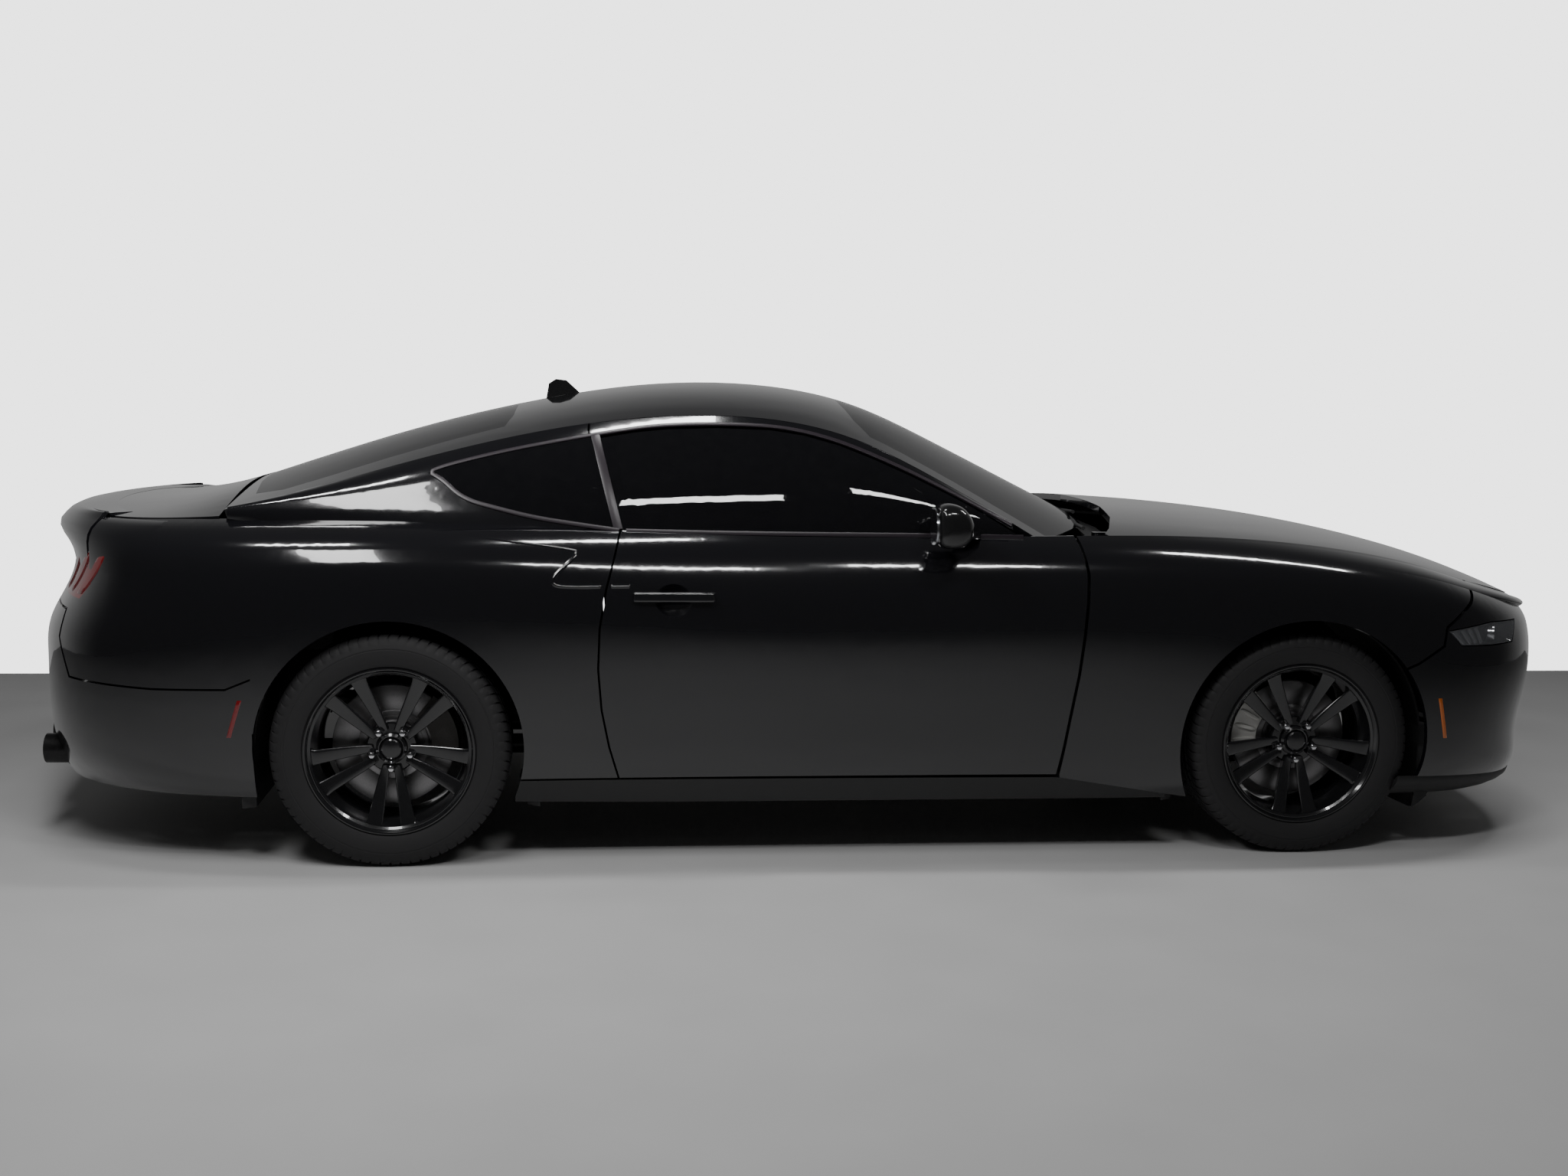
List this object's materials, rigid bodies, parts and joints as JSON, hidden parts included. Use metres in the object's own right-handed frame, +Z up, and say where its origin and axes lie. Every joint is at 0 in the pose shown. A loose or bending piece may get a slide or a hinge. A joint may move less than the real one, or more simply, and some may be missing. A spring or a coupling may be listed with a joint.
{
  "type": "muscle car",
  "caption": "Low two-door fastback coupe with long bonnet, frameless doors, ducktail boot lid and twin-spoke wheels; doors, lids, wheels and steering move.",
  "frame": {"origin": "middle of the length and width, on the ground", "axes": "+X towards the nose, +Y towards the left side, +Z up"},
  "size_m": [4.8159, 2.08, 1.4],
  "materials": {
    "paint": "gloss",
    "glass": "gloss",
    "black_plastic": "satin",
    "lamp": "gloss",
    "red_lamp": "gloss",
    "wheel_metal": "gloss",
    "tyre": "matte",
    "iron": "satin",
    "floor_steel": "satin",
    "trim": "satin",
    "seat_leather": "satin",
    "exhaust_steel": "satin"
  },
  "bodies": {
    "body": {"front_fender_left": "paint", "front_fender_right": "paint", "quarter_panel_left": "paint", "quarter_panel_right": "paint", "roof": "paint", "front_bumper": "paint", "rear_bumper": "paint", "side_skirts": "paint", "quarter_windows": "glass", "windscreen": "glass", "rear_window": "glass", "upper_grille": "black_plastic", "lower_grille": "black_plastic", "cowl_panel": "black_plastic", "wheel_liners": "black_plastic", "roof_antenna": "black_plastic", "wipers": "black_plastic", "headlamps": "lamp", "tail_lamps": "red_lamp", "front_subframe": "iron", "engine_block": "iron", "rear_axle": "iron", "radiator": "iron", "floor_pan": "floor_steel", "firewall": "floor_steel", "dashboard": "trim", "console": "trim", "parcel_shelf": "trim", "steering_wheel": "trim", "front_seats": "seat_leather", "rear_seat": "seat_leather", "exhaust": "exhaust_steel"},
    "door_left_assembly": {"door_left": "paint", "door_glass_left": "glass", "mirror_left": "black_plastic"},
    "steering_left": {"knuckle_left": "iron"},
    "front_wheel_left": {"wheel_front_left": "wheel_metal", "tyre_front_left": "tyre"},
    "rear_wheel_left": {"wheel_rear_left": "wheel_metal", "tyre_rear_left": "tyre"},
    "door_right_assembly": {"door_right": "paint", "door_glass_right": "glass", "mirror_right": "black_plastic"},
    "steering_right": {"knuckle_right": "iron"},
    "front_wheel_right": {"wheel_front_right": "wheel_metal", "tyre_front_right": "tyre"},
    "rear_wheel_right": {"wheel_rear_right": "wheel_metal", "tyre_rear_right": "tyre"},
    "hood_lid": {"hood": "paint"},
    "boot_lid": {"trunk_lid": "paint"}
  },
  "joints": [
    {"name": "door_left_hinge", "type": "hinge", "parent": "body", "child": "door_left_assembly", "pos_m": [0.695, 0.885, 0.545], "axis": [0, 0, -1], "range_deg": [0, 65]},
    {"name": "door_right_hinge", "type": "hinge", "parent": "body", "child": "door_right_assembly", "pos_m": [0.695, -0.885, 0.545], "axis": [0, 0, 1], "range_deg": [0, 65]},
    {"name": "hood_hinge", "type": "hinge", "parent": "body", "child": "hood_lid", "pos_m": [0.855, 0, 0.925], "axis": [0, -1, 0], "range_deg": [0, 45]},
    {"name": "trunk_hinge", "type": "hinge", "parent": "body", "child": "boot_lid", "pos_m": [-1.6, 0, 1.005], "axis": [0, 1, 0], "range_deg": [0, 60]},
    {"name": "steer_left", "type": "hinge", "parent": "body", "child": "steering_left", "pos_m": [1.4605, 0.739, 0.343], "axis": [0, 0, 1], "range_deg": [-34, 34]},
    {"name": "steer_right", "type": "hinge", "parent": "body", "child": "steering_right", "pos_m": [1.4605, -0.739, 0.343], "axis": [0, 0, 1], "range_deg": [-34, 34]},
    {"name": "spin_front_left", "type": "hinge", "parent": "steering_left", "child": "front_wheel_left", "pos_m": [1.4605, 0.791, 0.343], "axis": [0, 1, 0], "continuous": true},
    {"name": "spin_front_right", "type": "hinge", "parent": "steering_right", "child": "front_wheel_right", "pos_m": [1.4605, -0.791, 0.343], "axis": [0, 1, 0], "continuous": true},
    {"name": "spin_rear_left", "type": "hinge", "parent": "body", "child": "rear_wheel_left", "pos_m": [-1.2595, 0.824, 0.343], "axis": [0, 1, 0], "continuous": true},
    {"name": "spin_rear_right", "type": "hinge", "parent": "body", "child": "rear_wheel_right", "pos_m": [-1.2595, -0.824, 0.343], "axis": [0, 1, 0], "continuous": true}
  ],
  "couplings": [
    {"joint": "steer_right", "follows": "steer_left", "ratio": 1}
  ]
}
